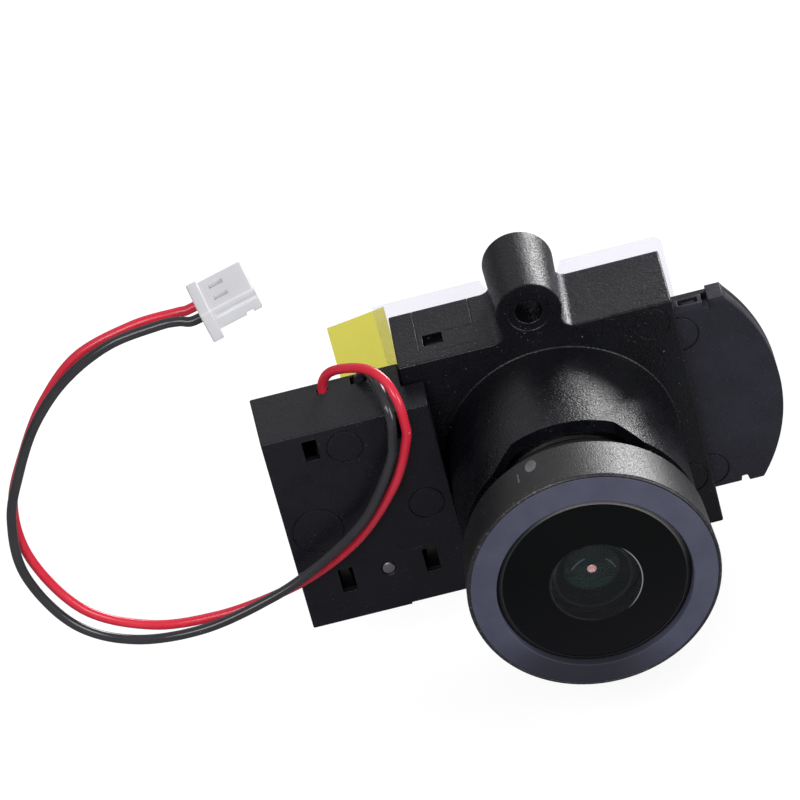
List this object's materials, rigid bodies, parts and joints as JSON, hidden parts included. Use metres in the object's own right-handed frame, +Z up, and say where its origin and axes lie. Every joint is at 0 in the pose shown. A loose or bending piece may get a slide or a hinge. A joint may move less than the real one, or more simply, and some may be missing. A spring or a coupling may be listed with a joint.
{
  "type": "filter-changer lens mount",
  "caption": "Board-camera lens mount with a wide-angle lens in a threaded sleeve, a solenoid-driven infrared filter slider, a two-wire lead and two screw bosses.",
  "frame": {"origin": "on the rear face of the upper screw boss, which rests on the camera board, 1.6 mm above the centre of its screw hole; the optical axis is 12.6 mm below", "axes": "lens looks along -Y; +X is to the right seen from the front, away from the solenoid box; +Z is up towards the upper screw boss"},
  "size_m": [0.0522, 0.0228, 0.035],
  "materials": {
    "moulded_black": "fine-grained moulded glass-filled plastic, satin on the sleeve",
    "moulded_black_fine": "smooth satin moulded plastic",
    "anodised_black": "satin black anodised with fine scuffs",
    "ring_blue_grey": "matte blue-grey black",
    "coated_glass": "polished with a faint green and purple coating",
    "blackened_metal": "blackened matte",
    "yoke_steel": "plated strip steel",
    "pin_steel": "ground steel",
    "coil_copper": "enamelled copper wire",
    "magnet_grey": "plated bonded magnet",
    "natural_plastic": "natural acetal",
    "white_nylon": "slightly translucent white nylon",
    "red_insulation": "soft satin insulation",
    "black_insulation": "soft satin insulation",
    "tinned_metal": "tin plated",
    "ir_cut_glass": "infrared-cut coated, pale blue-green with a red reflection",
    "clear_glass": "clear, anti-reflection coated",
    "ring_rubber": "matte rubber",
    "protective_film": "translucent white peel-off film",
    "yellow_film": "translucent yellow film"
  },
  "bodies": {
    "mount": {"mount_body": "moulded_black", "icr_base": "moulded_black_fine", "icr_cover": "moulded_black_fine", "solenoid_cover": "moulded_black_fine", "yoke": "yoke_steel", "coil_bobbin": "natural_plastic", "coil_winding": "coil_copper", "pivot_pin": "pin_steel", "solder_post_left": "tinned_metal", "solder_post_right": "tinned_metal", "red_wire": "red_insulation", "black_wire": "black_insulation", "plug_housing": "white_nylon", "crimp_terminal_red": "tinned_metal", "crimp_terminal_black": "tinned_metal"},
    "rotor": {"magnet_rotor": "magnet_grey", "swing_arm": "natural_plastic"},
    "slider": {"filter_frame": "natural_plastic", "ir_cut_filter": "ir_cut_glass", "clear_filter": "clear_glass"},
    "focus_carriage": {"friction_ring": "ring_rubber"},
    "lens": {"lens_barrel": "anodised_black", "front_ring": "ring_blue_grey", "front_element": "coated_glass", "second_element": "coated_glass", "spacer_ring": "blackened_metal", "third_element": "coated_glass", "aperture_stop": "blackened_metal", "doublet_front": "coated_glass", "doublet_rear": "coated_glass", "rear_spacer": "blackened_metal", "rear_element": "coated_glass", "rear_retainer": "blackened_metal"},
    "film": {"dust_film": "protective_film", "pull_tab": "yellow_film"}
  },
  "joints": [
    {"name": "rotor_swing", "type": "hinge", "parent": "mount", "child": "rotor", "pos_m": [-0.01328, -0.007, -0.01685], "axis": [0, -1, 0], "range_deg": [0, 72.86]},
    {"name": "filter_slide", "type": "slide", "parent": "mount", "child": "slider", "axis": [-1, 0, 0], "range_m": [0, 0.0076]},
    {"name": "lens_travel", "type": "slide", "parent": "mount", "child": "focus_carriage", "axis": [0, -1, 0], "range_m": [-0.001, 0.002]},
    {"name": "lens_turn", "type": "hinge", "parent": "focus_carriage", "child": "lens", "pos_m": [0, -0.0165, -0.0126], "axis": [0, -1, 0], "range_deg": [-720, 1440]},
    {"name": "film_peel", "type": "slide", "parent": "mount", "child": "film", "axis": [0, 1, 0], "range_m": [0, 0.015]}
  ],
  "couplings": [
    {"joint": "rotor_swing", "follows": "filter_slide", "rad_per_m": 167.29},
    {"joint": "lens_travel", "follows": "lens_turn", "m_per_rad": 0.000079577}
  ]
}
